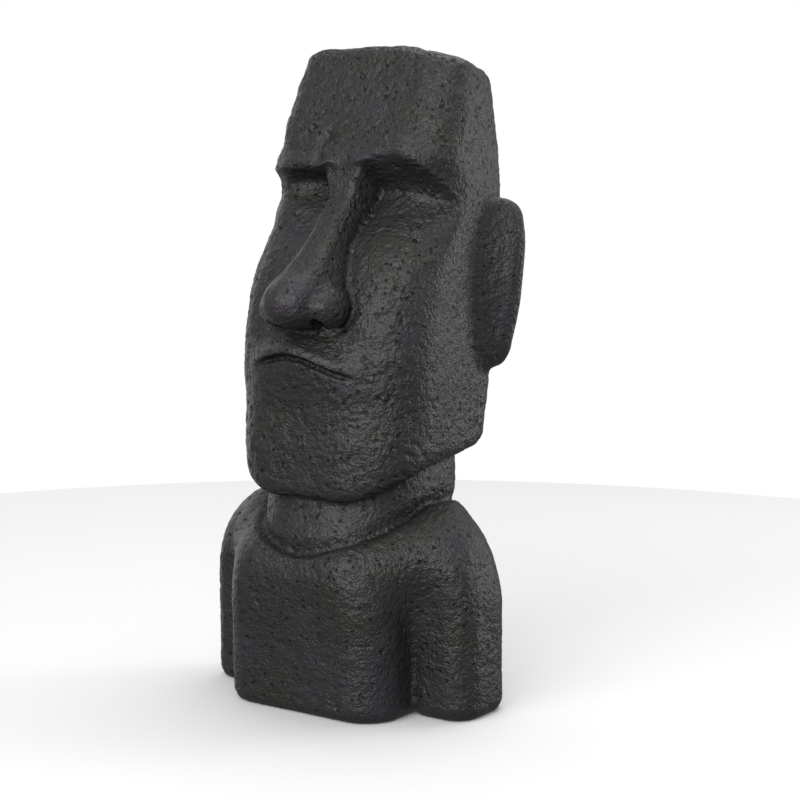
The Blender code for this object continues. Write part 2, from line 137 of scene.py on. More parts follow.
NOSE_WING_BLEND = 0.005
NOSTRIL_CENTRE = (0.0228, -0.0615, 0.3140)
NOSTRIL_RADII = (0.0068, 0.0130, 0.0125)
NOSTRIL_EDGE = 0.003
NOSE_FACE_BLEND = 0.004

# Ear: a long slab that leans outwards and backwards from the side of the head.
EAR_REACH = ((0.262, 0.0990), (0.272, 0.1050), (0.290, 0.1145), (0.336, 0.1210),
             (0.370, 0.1225), (0.395, 0.1190), (0.408, 0.1125), (0.420, 0.1000))
EAR_FRONT = ((0.262, 0.0560), (0.271, 0.0520), (0.298, 0.0440), (0.340, 0.0435),
             (0.370, 0.0460), (0.406, 0.0535), (0.420, 0.0580))
EAR_ROOT = 0.090
EAR_RUN = 0.032
EAR_THICKNESS = 0.027
EAR_BACK_SLOPE = 0.45
EAR_MIDDLE = 0.3405
EAR_HALF_HEIGHT = 0.0735
EAR_RIM_EDGE = 0.012
EAR_BACK_EDGE = 0.010
EAR_INNER_LIMIT = 0.084
EAR_FRONT_LIMIT = 0.012
EAR_BLEND = 0.005

# Neck: a short column that widens where it meets the chest.
NECK_FRONT = ((0.125, -0.0690), (0.142, -0.0665), (0.155, -0.0620), (0.170, -0.0585),
              (0.200, -0.0560))
NECK_HALF_WIDTH = ((0.125, 0.0790), (0.160, 0.0745), (0.200, 0.0735))
NECK_BACK = 0.070
NECK_FRONT_CORNER = 0.068
NECK_BACK_CORNER = 0.030
NECK_TOP = 0.230
NECK_TOP_EDGE = 0.010
NECK_BLEND = 0.003

# Torso: a chest block and an arm against each side of it.
CHEST_HALF_WIDTH = 0.0815
CHEST_FRONT = ((0.000, -0.0750), (0.060, -0.0760), (0.110, -0.0795), (0.160, -0.0795))
CHEST_BACK = 0.080
CHEST_FRONT_CORNER = ((0.000, 0.034), (0.080, 0.036), (0.120, 0.046), (0.160, 0.062))
CHEST_BACK_CORNER = 0.040
ARM_MIDDLE = 0.1005
ARM_HALF_WIDTH = 0.0320
ARM_FRONT = -0.0260
ARM_BACK = 0.0500
ARM_FRONT_CORNER = 0.0240
ARM_BACK_CORNER = 0.0300
GROOVE_EDGE_LOW = 0.005
GROOVE_EDGE_HIGH = 0.060
GROOVE_FADE = (0.040, 0.150)

# Top of the chest and the shoulders, by depth, by distance from the middle and
# along the diagonal to the back of the arms.
SHOULDER_BY_DEPTH = ((-0.090, 0.128), (-0.065, 0.135), (-0.012, 0.158), (0.012, 0.166),
                     (0.040, 0.165), (0.100, 0.152))
SHOULDER_BY_SIDE = ((0.000, 0.000), (0.050, 0.005), (0.085, 0.003), (0.100, -0.002),
                    (0.112, -0.010), (0.124, -0.022), (0.1325, -0.040))
SHOULDER_DIAGONAL = (0.8, 0.6)
SHOULDER_BY_DIAGONAL = ((0.085, 0.176), (0.101, 0.155), (0.112, 0.140), (0.121, 0.125),
                        (0.127, 0.110), (0.135, 0.085))
SHOULDER_DIAGONAL_BLEND = 0.010
COLLAR_EDGE = 0.018
SHOULDER_EDGE = 0.026
SHOULDER_EDGE_CHANGE = (0.040, 0.090)
SHOULDER_STEEPNESS = 0.72
TORSO_BLEND = 0.006
BASE_EDGE = 0.012

# Differences between the two sides of the cast statue, which the even solid leaves
# out. Right and left are the statue's own. A zone has two pairs of limits, between
# which a change fades in and fades out.
MOUTH_TILT = -0.15
MOUTH_TILT_WIDTH = 0.062
MOUTH_ZONE = ((0.250, 0.270), (0.300, 0.320))
RIGHT_SIDE_START = (0.012, 0.028)
RIGHT_BROW_DROP = 0.009
RIGHT_BROW_ZONE = ((0.424, 0.437), (0.450, 0.475))
RIGHT_EYE_RAISE = 0.0065
RIGHT_EYE_ZONE = ((0.383, 0.405), (0.420, 0.433))
RIGHT_EYE_FILL = 0.60
RIGHT_EYE_FILL_START = (0.040, 0.074)
RIGHT_NOSTRIL_FILL = 0.0040
CROWN_LEFT_FALL = ((0.000, 0.0000), (0.030, 0.0012), (0.050, 0.0060), (0.075, 0.0090),
                   (0.095, 0.0110))

# Creases where two forms meet: each is a depth and a half-width. The nose's crease
# starts above its foot and beside its tip, so that none lies under the tip.
NOSE_CREASE = (0.0018, 0.0030)
NOSE_CREASE_FOOT = (0.316, 0.332)
NOSE_CREASE_SIDE = (0.022, 0.030)
JAW_CREASE = (0.0014, 0.0032)
COLLAR_CREASE = (0.0042, 0.0036)
EAR_CREASE = (0.0010, 0.0040)

# Eyelids: a thin roll along each socket's floor, fainter on the left, and a groove
# below the right one.
EYELID_SIZE = 0.0018
EYELID_RISE = 0.0010
EYELID_LEFT_SHARE = 0.25
EYELID_ZONE = ((0.018, 0.024), (0.062, 0.085))
EYELID_FRONT = (0.010, 0.030)
EYELID_GROOVE_DROP = 0.0056
EYELID_GROOVE_DEPTH = 0.0018
EYELID_GROOVE_ZONE = ((0.018, 0.024), (0.050, 0.064))

# Ear band: the hollow on the front of an ear, between the head and the smooth rim.
EAR_BAND_START = 0.0930
EAR_BAND_RIM = 0.0150
EAR_BAND_DEPTH = 0.0016
EAR_BAND_EDGE = 0.009
EAR_BAND_ENDS = (0.290, 0.400)
EAR_BAND_FRONT = (-0.004, 0.004)

# Mesh of the visual statue: grid step and the room around the statue, passes that
# move the corners onto the form, points worked out at once, and the triangles that
# are left. The faces along the mouth are split finer.
FINE_STEP = 0.0017
FINE_ROOM = 0.012
FINE_PASSES = 2
SLOPE_SAMPLE = 0.0002
SMALLEST_SLOPE = 0.05
BLOCK = 400000
FINE_TRIANGLES = 196000
MOUTH_REACH = 0.0045
MOUTH_BACK = -0.045
MOUTH_SPLITS = 2

# Relief of the cast skin: a size across, a height and the seed of its noise. Chips
# lie like shingles, longer across than they are high. The wander bends the rows of
# marks, as a brush does, with a seed for each axis.
SWELL = (0.0420, 0.00110, 1)
DENT = (0.0110, 0.00100, 2)
SHINGLE = (0.0056, 0.00090, 3)
SHINGLE_STRETCH = (0.55, 0.55, 1.7)
CRINKLE = (0.0036, 0.00055, 4)
WANDER = (0.0210, 0.0040)
WANDER_SEEDS = (11, 12, 13)
EDGE_SKIN = 0.0004
UNDERSIDE_FADE = (0.0005, 0.004)

# Pits: air bubbles that broke open, one at most in each cell.
PIT_CELL = 0.0066
PIT_CHANCE = 0.55
PIT_RADIUS = (0.0011, 0.0026)
PIT_DEPTH = 0.0022
PIT_STRETCH = (0.75, 0.75, 1.30)
PIT_SHALLOWEST = 0.45
PIT_SEED = 20

# Calmer places, where brush and stipple left fewer marks: the share of the relief
# that is missing there, and their limits.
FLANK_CALM = 0.45
FLANK_SIDE = (0.084, 0.093)
FLANK_FOOT = (0.17, 0.21)
BODY_CALM = 0.35
BODY_TOP = (0.175, 0.215)
FACE_CALM = 0.6
FACE_DEPTH = (0.0, 0.03)
LIP_CALM_REACH = (0.0080, 0.0200)
LIP_CALM_SIDE = (0.045, 0.065)
NOSE_CALM_SIDE = (0.018, 0.032)
NOSE_CALM_ZONE = ((0.300, 0.312), (0.425, 0.445))
RIM_CALM = 0.7
RIM_CALM_REACH = (-0.0170, -0.0110)
RIM_CALM_ZONE = ((0.262, 0.275), (0.405, 0.420))

# Repeatable random numbers: large odd factors that mix the bits of a cell's place,
# and how many of the mixed bits are kept.
CELL_FACTORS = (73856093, 19349663, 83492791)
SEED_FACTOR = 2654435761
MIX_FACTOR = 0xBF58476D1CE4E5B9
MIX_SHIFT = 29
KEPT_BITS = 24

# Colours of the stone as sRGB codes, and the limits of its shading: the skin's
# roughness from patch to patch, the grain, and the hollows and edges, darker and
# lighter by how sharp they are. The darker hollows are painted shade; the lighter
# edges are partly wear and partly a painted highlight.
STONE_GREY = "272727"
STONE_PLUM = "2c292d"
STONE_BROWN = "292826"
TINT_STOPS = ((0.40, STONE_BROWN), (0.50, STONE_GREY), (0.60, STONE_PLUM))
SKIN_ROUGHNESS = (0.34, 0.52)
GRAIN_SHADE = (0.80, 1.20)
PAINTED_SHADE_AND_EDGE_WEAR_POINTINESS = (0.44, 0.57)
PAINTED_SHADE_AND_EDGE_WEAR_FACTOR = (0.45, 1.65)

# Small pores: a cell for each, where the bowl of a pore ends as a share of the cell,
# how deep it is, the random numbers between which a pore closes, and the share of
# the colour that is left in it, a painted shade for the shadow inside the pore.
PORE_CELL = 0.0062
PORE_EDGE = (0.13, 0.27)
PORE_DEPTH = 0.0012
PORE_CHANCE = (0.55, 0.75)
PORE_PAINTED_SHADE = 0.22

# Patterns of the stone: a size across, a detail and a roughness. Tint patches and
# stipple marks have their real size. Real sand grains are about half a millimetre,
# too fine to show, so grain and sand are drawn about four times as coarse.
TINT_PATCH = (0.0500, 3.0, 0.5)
GRAIN = (0.0018, 2.0, 0.5)
STIPPLE = (0.0042, 2.0, 0.6)
STIPPLE_DEPTH = 0.0016
SAND = (0.0020, 1.0, 0.6)
SAND_DEPTH = 0.0007

# Camera at the photograph's place, angles in degrees, lens in millimetres.
CAMERA_PLACE = (0.9027, -1.2055, 0.4290)
CAMERA_PITCH = 6.90
CAMERA_HEADING = 35.21
CAMERA_LENS = 83.3
CAMERA_SENSOR = 36.0

# Floor, surroundings and soft panels. The surroundings are dimmer from below. Each
# panel has a place, a size and a power in watts.
FLOOR_RADIUS = 1.1
FLOOR_CORNERS = 128
FLOOR_WHITE = "fcfcfc"
FLOOR_ROUGHNESS = 0.9
WORLD_STRENGTH = (0.20, 0.34)
WORLD_BAND = (-0.3, 0.3)
LIGHTS = (
    ("left_panel", (-1.8, 0.8, 0.4), (0.9, 1.8), 5.0),
    ("right_panel", (1.5, 1.8, 0.5), (0.9, 1.8), 20.0),
    ("front_panel", (0.4, -1.9, 1.15), (2.4, 1.8), 44.0),
    ("top_panel", (0.0, 0.7, 2.0), (1.6, 1.6), 18.0),
)


def smooth_min(first, second, reach):
    """Lower of two fields, rounded where they are closer than reach."""
    mix = np.clip(0.5 + 0.5 * (second - first) / reach, 0.0, 1.0)
    return second + (first - second) * mix - reach * mix * (1.0 - mix)


def smooth_max(first, second, reach):
    """Higher of two fields, rounded where they are closer than reach."""
    return -smooth_min(-first, -second, reach)


def ease(value, limits):
    """Smooth step from 0 to 1 between two limits."""
    part = np.clip((value - limits[0]) / (limits[1] - limits[0]), 0.0, 1.0)
    return part * part * (3.0 - 2.0 * part)


def profile(value, stations):
    """Smooth curve through pairs of position and size, without overshoot."""
    places = np.array([station[0] for station in stations])
    sizes = np.array([station[1] for station in stations])
    widths = np.diff(places)
    rises = np.diff(sizes) / widths
    products = rises[:-1] * rises[1:]
    sums = np.where(products > 0.0, rises[:-1] + rises[1:], 1.0)
    inner = np.where(products > 0.0, 2.0 * products / sums, 0.0)
    slopes = np.concatenate((rises[:1], inner, rises[-1:]))
    value = np.clip(value, places[0], places[-1])
    span = np.clip(np.searchsorted(places, value) - 1, 0, len(widths) - 1)
    part = (value - places[span]) / widths[span]
    rest = 1.0 - part
    start = (1.0 + 2.0 * part) * rest**2 * sizes[span]
    end = part**2 * (3.0 - 2.0 * part) * sizes[span + 1]
    bend = part * rest * (rest * slopes[span] - part * slopes[span + 1])
    return start + end + bend * widths[span]


def rounded_section(x, y, half_width, front, back, front_corner, back_corner):
    """Distance to a level section whose front and back corners are rounded."""
    middle = 0.5 * (front + back)
    corner = np.where(y < middle, front_corner, back_corner)
    across = np.abs(x) - half_width + corner
    along = np.abs(y - middle) - 0.5 * (back - front) + corner
    outside = np.hypot(np.maximum(across, 0.0), np.maximum(along, 0.0))
    return outside + np.minimum(np.maximum(across, along), 0.0) - corner


def ellipsoid(x, y, z, centre, radii):
    """Rough distance to an ellipsoid, right to scale near its surface."""
    scaled = np.sqrt(((x - centre[0]) / radii[0])**2
                     + ((y - centre[1]) / radii[1])**2
                     + ((z - centre[2]) / radii[2])**2)
    return (scaled - 1.0) * min(radii)


def brow_and_socket(side, z):
    """How far the face steps back in the sockets, less the brow's bulge."""
    crest = profile(side, BROW_CREST)
    floor = profile(side, SOCKET_FLOOR)
    upper = np.clip((crest - z) / np.maximum(crest - floor, SOCKET_LEAST_HEIGHT), 0.0, 1.0)
    upper += BROW_UNDERSIDE_BEND * (ease(upper, (0.0, 1.0)) - upper)
    lower = np.clip((z - floor + SOCKET_CHEEK_HEIGHT) / SOCKET_CHEEK_HEIGHT, 0.0, 1.0)
    lower += SOCKET_CHEEK_BEND * (ease(lower, (0.0, 1.0)) - lower)
    bulge = BROW_BULGE * np.exp(-((z - crest) / BROW_BULGE_HEIGHT)**2)
    bulge *= 1.0 - ease(side, BROW_BULGE_END)
    bulge *= BROW_MIDDLE_SHARE + (1.0 - BROW_MIDDLE_SHARE) * ease(side, BROW_MIDDLE)
    return profile(side, SOCKET_DEPTH) * np.minimum(upper, lower) - bulge


def above_lip_line(side, z):
    """Height above the arch of the mouth."""
    return z - MOUTH_HEIGHT + profile(side, MOUTH_DROP)


def lips(side, z):
    """How far the lips stand out from the face."""
    height = above_lip_line(side, z)
    fade = np.clip(1.0 - (side / LIP_HALF_WIDTH)**2, 0.0, 1.0)**LIP_FADE
    groove = np.clip(1.0 - (side / MOUTH_HALF_WIDTH)**4, 0.0, 1.0)
    groove *= LIP_GROOVE_DEPTH * np.exp(-(height / LIP_GROOVE_WIDTH)**2)
    return profile(height, LIP_PROFILE) * fade - groove


def head(x, y, z):
    """Head block with brow, sockets, lips, crown and jaw."""
    side = np.abs(x)
    front = profile(z, FACE_FRONT) + brow_and_socket(side, z) * right_eye_share(x)
    front -= lips(side, z)
    field = HEAD_STEEPNESS * rounded_section(
        x, y, profile(z, HEAD_HALF_WIDTH), front, profile(z, HEAD_BACK),
        profile(z, FACE_CORNER), HEAD_BACK_CORNER)
    crown_fall = CROWN_SIDE_FALL * x**2 + profile(x, CROWN_LEFT_FALL)
    crown_fall += CROWN_BACK_SLOPE * np.maximum(y - CROWN_BACK_START, 0.0)
    field = smooth_max(field, z - HEIGHT - CROWN_RISE + crown_fall, CROWN_EDGE)
    jaw = JAW_STEEPNESS * (profile(y, JAW_UNDERSIDE) + JAW_SIDE_RISE * x**2 - z)
    jaw_edge = JAW_FRONT_EDGE + (JAW_BACK_EDGE - JAW_FRONT_EDGE) * ease(y, JAW_EDGE_CHANGE)
    return smooth_max(field, jaw, jaw_edge)


def nose(x, y, z):
    """Ridge, round tip, wings and nostrils."""
    side = np.abs(x)
    ridge = profile(z, NOSE_RIDGE)
    flare = NOSE_FLARE * np.maximum(y - ridge - NOSE_FLARE_START, 0.0)
    field = NOSE_STEEPNESS * rounded_section(
        x, y, profile(z, NOSE_HALF_WIDTH) + flare, ridge, NOSE_ROOT_DEPTH,
        NOSE_RIDGE_EDGE, NOSE_RIDGE_EDGE)
    field = smooth_max(field, z - NOSE_TOP, NOSE_TOP_EDGE)
    field = smooth_max(field, NOSE_UNDERSIDE - z, NOSE_UNDERSIDE_EDGE)
    tip = ellipsoid(x, y, z, NOSE_TIP_CENTRE, NOSE_TIP_RADII)
    field = smooth_min(field, tip, NOSE_TIP_BLEND)
    wing = ellipsoid(side, y, z, NOSE_WING_CENTRE, NOSE_WING_RADII)
    field = smooth_min(field, wing, NOSE_WING_BLEND)
    nostril = ellipsoid(side, y, z, NOSTRIL_CENTRE, NOSTRIL_RADII)
    nostril += RIGHT_NOSTRIL_FILL * ease(-x, (0.0, NOSTRIL_CENTRE[0]))
    return smooth_max(field, -nostril, NOSTRIL_EDGE)


def ears(x, y, z):
    """Both ear slabs."""
    side = np.abs(x)
    reach = profile(z, EAR_REACH)
    front = profile(z, EAR_FRONT)
    lean = (reach - EAR_ROOT) / EAR_RUN
    outer = (side - EAR_ROOT - lean * (y - front)) / np.hypot(1.0, lean)
    field = smooth_max(outer, side - reach, EAR_RIM_EDGE)
    back = y - front - EAR_THICKNESS - EAR_BACK_SLOPE * (side - EAR_ROOT)
    field = smooth_max(field, back / np.hypot(1.0, EAR_BACK_SLOPE), EAR_BACK_EDGE)
    ends = np.abs(z - EAR_MIDDLE) - EAR_HALF_HEIGHT
    field = smooth_max(field, ends, EAR_RIM_EDGE)
    return np.maximum(field, np.maximum(EAR_INNER_LIMIT - side, front - EAR_FRONT_LIMIT - y))


def neck(x, y, z):
    """Column between the jaw and the chest."""
    field = rounded_section(
        x, y, profile(z, NECK_HALF_WIDTH), profile(z, NECK_FRONT), NECK_BACK,
        NECK_FRONT_CORNER, NECK_BACK_CORNER)
    return smooth_max(field, z - NECK_TOP, NECK_TOP_EDGE)


def torso(x, y, z):
    """Chest, arms and the grooves between them, under the shoulders."""
    side = np.abs(x)
    chest = rounded_section(
        x, y, CHEST_HALF_WIDTH, profile(z, CHEST_FRONT), CHEST_BACK,
        profile(z, CHEST_FRONT_CORNER), CHEST_BACK_CORNER)
    arm = rounded_section(
        side - ARM_MIDDLE, y, ARM_HALF_WIDTH, ARM_FRONT, ARM_BACK,
        ARM_FRONT_CORNER, ARM_BACK_CORNER)
    groove_edge = GROOVE_EDGE_LOW + (GROOVE_EDGE_HIGH - GROOVE_EDGE_LOW) * ease(z, GROOVE_FADE)
    field = smooth_min(chest, arm, groove_edge)
    top = profile(y, SHOULDER_BY_DEPTH) + profile(side, SHOULDER_BY_SIDE)
    diagonal = SHOULDER_DIAGONAL[0] * side + SHOULDER_DIAGONAL[1] * y
    top = smooth_min(top, profile(diagonal, SHOULDER_BY_DIAGONAL), SHOULDER_DIAGONAL_BLEND)
    edge = COLLAR_EDGE + (SHOULDER_EDGE - COLLAR_EDGE) * ease(side, SHOULDER_EDGE_CHANGE)
    return smooth_max(field, SHOULDER_STEEPNESS * (z - top), edge)


def rise_along(value, size):
    """Soft bump of height 1 and a given half-width."""
    return np.exp(-(value / size)**2)


def right_eye_share(x):
    """Share of the even socket's depth that the right eye keeps at its outer end."""
    return 1.0 - RIGHT_EYE_FILL * ease(-x, RIGHT_EYE_FILL_START)


def eye_detail(x, y, side, z):
    """Thin roll along each socket's floor, with a groove below the right one."""
    right = ease(-x, RIGHT_SIDE_START)
    above = z - profile(side, SOCKET_FLOOR) - RIGHT_EYE_RAISE * right
    roll = EYELID_RISE * rise_along(above, EYELID_SIZE) * between(side, EYELID_ZONE)
    roll *= EYELID_LEFT_SHARE + (1.0 - EYELID_LEFT_SHARE) * right
    groove = EYELID_GROOVE_DEPTH * rise_along(above + EYELID_GROOVE_DROP, EYELID_SIZE)
    groove *= between(-x, EYELID_GROOVE_ZONE)
    return (roll - groove) * ease(-y, EYELID_FRONT)


def ear_band(side, y, z):
    """Hollow on the front of the ear, inside its smooth rim."""
    rim = profile(z, EAR_REACH) - EAR_BAND_RIM
    inside = ease(side, (EAR_BAND_START, EAR_BAND_START + EAR_BAND_EDGE))
    inside *= 1.0 - ease(side, (rim, rim + EAR_BAND_EDGE))
    inside *= ease(z, (EAR_BAND_ENDS[0] - EAR_BAND_EDGE, EAR_BAND_ENDS[0]))
    inside *= 1.0 - ease(z, (EAR_BAND_ENDS[1], EAR_BAND_ENDS[1] + EAR_BAND_EDGE))
    middle = profile(z, EAR_FRONT) + 0.5 * EAR_THICKNESS + side - EAR_ROOT
    return EAR_BAND_DEPTH * inside * (1.0 - ease(y - middle, EAR_BAND_FRONT))


def crease(first, second, size):
    """Groove of a given depth and half-width where two forms meet."""
    return size[0] * rise_along(first - second, size[1])


def between(value, zone):
    """1 inside a zone of two eased limits and 0 outside it."""
    return ease(value, zone[0]) * (1.0 - ease(value, zone[1]))


def uneven_height(x, z):
    """Height in the even form of what lies at x, z in the uneven real face."""
    mouth = MOUTH_TILT * x * np.clip(1.0 - (x / MOUTH_TILT_WIDTH)**2, 0.0, 1.0)
    right = ease(-x, RIGHT_SIDE_START)
    brow = RIGHT_BROW_DROP * right * between(z, RIGHT_BROW_ZONE)
    eye = RIGHT_EYE_RAISE * right * between(z, RIGHT_EYE_ZONE)
    return z - mouth * between(z, MOUTH_ZONE) + (brow - eye)


def detailed_form(points):
    """The statue's form with its finer carving."""
    x, y, z = points.T
    side = np.abs(x)
    skull = head(x, y, uneven_height(x, z)) - eye_detail(x, y, side, z)
    snout = nose(x, y, z)
    ear = ears(x, y, z) + ear_band(side, y, z)
    throat = neck(x, y, z)
    trunk = torso(x, y, z)
    field = smooth_min(skull, snout, NOSE_FACE_BLEND)
    beside = np.maximum(ease(z, NOSE_CREASE_FOOT), ease(side, NOSE_CREASE_SIDE))
    field += crease(skull, snout, NOSE_CREASE) * beside
    field = smooth_min(field, ear, EAR_BLEND) + crease(field, ear, EAR_CREASE)
    field = smooth_min(field, throat, NECK_BLEND) + crease(field, throat, JAW_CREASE)
    field = smooth_min(field, trunk, TORSO_BLEND) + crease(field, trunk, COLLAR_CREASE)
    return smooth_max(field, -z, BASE_EDGE)


def in_blocks(form, points):
    """Values of a form, worked out a block at a time to save memory."""
    blocks = [form(points[start:start + BLOCK]) for start in range(0, len(points), BLOCK)]
    return np.concatenate(blocks)


def surface_grid():
    """Grid points around the whole statue and the detailed form there."""
    half = np.array((0.5 * WIDTH, 0.5 * DEPTH, 0.0))
    low = -half - FINE_ROOM
    high = np.array((half[0], half[1], HEIGHT)) + FINE_ROOM
    lines = [np.arange(low[axis], high[axis], FINE_STEP) for axis in range(3)]
    points = np.stack(np.meshgrid(*lines, indexing="ij"), axis=-1)
    values = in_blocks(detailed_form, points.reshape(-1, 3)).reshape(points.shape[:3])
    return points, values


def crossed_edges(points, values, axis):
    """Grid edges along one axis that pass through the surface."""
    start = np.argwhere(np.diff((values < 0.0).astype(int), axis=axis) != 0)
    end = start.copy()
    end[:, axis] += 1
    first = values[tuple(start.T)]
    last = values[tuple(end.T)]
    part = (first / (first - last))[:, None]
    crossing = (1.0 - part) * points[tuple(start.T)] + part * points[tuple(end.T)]
    return start, crossing, first < 0.0


def cells_around(start, axis, shape):
    """Numbers of the four cells around each grid edge, in turning order."""
    cells = []
    for back in ((0, 0), (1, 0), (1, 1), (0, 1)):
        cell = start.copy()
        cell[:, (axis + 1) % 3] -= back[0]
        cell[:, (axis + 2) % 3] -= back[1]
        cells.append(np.ravel_multi_index(cell.T, shape))
    return np.stack(cells, axis=1)


def lay_skin():
    """Corners and quads of the surface, one corner in each crossed cell."""
    points, values = surface_grid()
    total = np.zeros((values.size, 3))
    count = np.zeros(values.size)
    quads = []
    for axis in range(3):
        start, crossing, leaves = crossed_edges(points, values, axis)
        quad = cells_around(start, axis, values.shape)
        for corner in range(4):
            np.add.at(total, quad[:, corner], crossing)
            np.add.at(count, quad[:, corner], 1.0)
        quads.append(np.where(leaves[:, None], quad, quad[:, ::-1]))
    used, numbers = np.unique(np.concatenate(quads), return_inverse=True)
    return total[used] / count[used][:, None], numbers.reshape(-1, 4)


def near_mouth(points):
    """Which points lie close to the groove between the lips."""
    x, y, z = points.T
    side = np.abs(x)
    height = np.abs(above_lip_line(side, uneven_height(x, z)))
    return (height < MOUTH_REACH) & (side < LIP_HALF_WIDTH) & (y < MOUTH_BACK)


def refine_mouth(mesh):
    """Split the faces along the mouth, so that its groove can be narrow."""
    shape = bmesh.new()
    shape.from_mesh(mesh)
    for _ in range(MOUTH_SPLITS):
        chosen = near_mouth(np.array([vert.co for vert in shape.verts]))
        shape.verts.index_update()
        edges = [edge for edge in shape.edges
                 if chosen[edge.verts[0].index] and chosen[edge.verts[1].index]]
        bmesh.ops.subdivide_edges(shape, edges=edges, cuts=1, use_grid_fill=True)
    shape.to_mesh(mesh)
    shape.free()


def form_slope(points):
    """Slope of the detailed form along the three axes."""
    slope = np.empty_like(points)
    for axis in range(3):
        shift = np.zeros(3)
        shift[axis] = SLOPE_SAMPLE
        rise = detailed_form(points + shift) - detailed_form(points - shift)
        slope[:, axis] = rise / (2.0 * SLOPE_SAMPLE)
    return slope


def carve(points):
    """Move points onto the form, and return the way out of the stone there."""
    for _ in range(FINE_PASSES):
        slope = form_slope(points)
        steepness = np.maximum((slope**2).sum(axis=1), SMALLEST_SLOPE)
        step = np.clip(detailed_form(points) / np.sqrt(steepness), -FINE_STEP, FINE_STEP)
        points = points - slope * (step / np.sqrt(steepness))[:, None]
    return points, slope / np.sqrt(steepness)[:, None]


def random_at(cells, seed):
    """Repeatable random number from 0 to 1 for each whole-numbered cell."""
    cells = cells.astype(np.int64).astype(np.uint64)
    mixed = np.full(cells.shape[:-1], seed * SEED_FACTOR, dtype=np.uint64)
    for axis, factor in enumerate(CELL_FACTORS):
        mixed ^= cells[..., axis] * np.uint64(factor)
    for _ in range(2):
        mixed ^= mixed >> np.uint64(MIX_SHIFT)
        mixed *= np.uint64(MIX_FACTOR)
    return (mixed >> np.uint64(64 - KEPT_BITS)).astype(float) / float(1 << KEPT_BITS)


def noise(points, seed):
    """Smooth noise from -1 to 1, with lumps about one unit across."""
    base = np.floor(points)
    part = points - base
    part = part * part * (3.0 - 2.0 * part)
    total = np.zeros(len(points))
    for corner in np.ndindex(2, 2, 2):
        weight = np.ones(len(points))
        for axis in range(3):
            weight *= part[:, axis] if corner[axis] else 1.0 - part[:, axis]
        total += weight * random_at(base + np.array(corner), seed)
    return 2.0 * total - 1.0


def pits(points, seed):
    """Depth from 0 to 1 of scattered pits, one at most in each cell. Three seeds in
    a row place a pit, the fourth sizes it and the fifth says if it is there."""
    base = np.floor(points)
    deepest = np.zeros(len(points))
    for corner in np.ndindex(3, 3, 3):
        cell = base + np.array(corner) - 1.0
        centre = cell + np.stack([random_at(cell, seed + axis) for axis in range(3)], axis=1)
        size = random_at(cell, seed + 3)
        radius = (PIT_RADIUS[0] + (PIT_RADIUS[1] - PIT_RADIUS[0]) * size) / PIT_CELL
        near = np.linalg.norm(points - centre, axis=1) / radius
        depth = np.clip(1.0 - near**2, 0.0, 1.0)
        depth *= PIT_SHALLOWEST + (1.0 - PIT_SHALLOWEST) * size
        depth *= random_at(cell, seed + 4) < PIT_CHANCE
        deepest = np.maximum(deepest, depth)
    return deepest


def relief_share(points):
    """Share of the relief that is left at each point: less on the head's sides, on
    the body, beside the lips, on the nose, on the rims of the ears and underneath."""
    x, y, z = points.T
    side = np.abs(x)
    flank = ease(side, FLANK_SIDE) * ease(z, FLANK_FOOT)
    share = (1.0 - FLANK_CALM * flank) * ease(z, UNDERSIDE_FADE)
    share *= 1.0 - BODY_CALM * (1.0 - ease(z, BODY_TOP))
    lip = 1.0 - ease(np.abs(above_lip_line(side, uneven_height(x, z))), LIP_CALM_REACH)
    lip *= 1.0 - ease(side, LIP_CALM_SIDE)
    ridge = (1.0 - ease(side, NOSE_CALM_SIDE)) * between(z, NOSE_CALM_ZONE)
    share *= 1.0 - FACE_CALM * np.maximum(lip, ridge) * ease(-y, FACE_DEPTH)
    rim = side - profile(z, EAR_REACH)
    share *= 1.0 - RIM_CALM * ease(rim, RIM_CALM_REACH) * between(z, RIM_CALM_ZONE)
    return share


def weather(points):
    """Height of the cast surface's relief at each point, always inward."""
    bend = np.stack([noise(points / WANDER[0], seed) for seed in WANDER_SEEDS], axis=1)
    bent = points + WANDER[1] * bend
    flake = np.array(SHINGLE_STRETCH) / SHINGLE[0]
    share = relief_share(points)
    height = SWELL[1] * 0.5 * (noise(points / SWELL[0], SWELL[2]) - 1.0)
    height += DENT[1] * share * 0.5 * (noise(bent / DENT[0], DENT[2]) - 1.0)
    height -= SHINGLE[1] * share * np.abs(noise(bent * flake, SHINGLE[2]))
    height -= CRINKLE[1] * share * np.abs(noise(bent / CRINKLE[0], CRINKLE[2]))
    height -= PIT_DEPTH * share * pits(bent * np.array(PIT_STRETCH) / PIT_CELL, PIT_SEED)
    return (height - EDGE_SKIN) * ease(points[:, 2], UNDERSIDE_FADE)


def scale_to_box(points, box):
    """Scale points so that they just fill the box."""
    low, high = points.min(axis=0), points.max(axis=0)
    size = np.array(box[1]) - np.array(box[0])
    return np.array(box[0]) + (points - low) * size / (high - low)


def trim_to_box(mesh, box):
    """Bring corners that the thinning left a hair outside back to the box."""
    points = np.empty(len(mesh.vertices) * 3)
    mesh.vertices.foreach_get("co", points)
    points = np.clip(points.reshape(-1, 3), box[0], box[1])
    mesh.vertices.foreach_set("co", points.ravel())
    mesh.update()


def thin_out(statue):
    """Thin the mesh to the wanted number of triangles, finest where it bends."""
    mesh = statue.data
    triangles = sum(len(face.vertices) - 2 for face in mesh.polygons)
    statue.modifiers.new("triangulate", "TRIANGULATE")
    statue.modifiers.new("decimate", "DECIMATE").ratio = FINE_TRIANGLES / triangles
    graph = bpy.context.evaluated_depsgraph_get()
    thinned = bpy.data.meshes.new_from_object(statue.evaluated_get(graph))
    statue.modifiers.clear()
    statue.data = thinned
    bpy.data.meshes.remove(mesh)


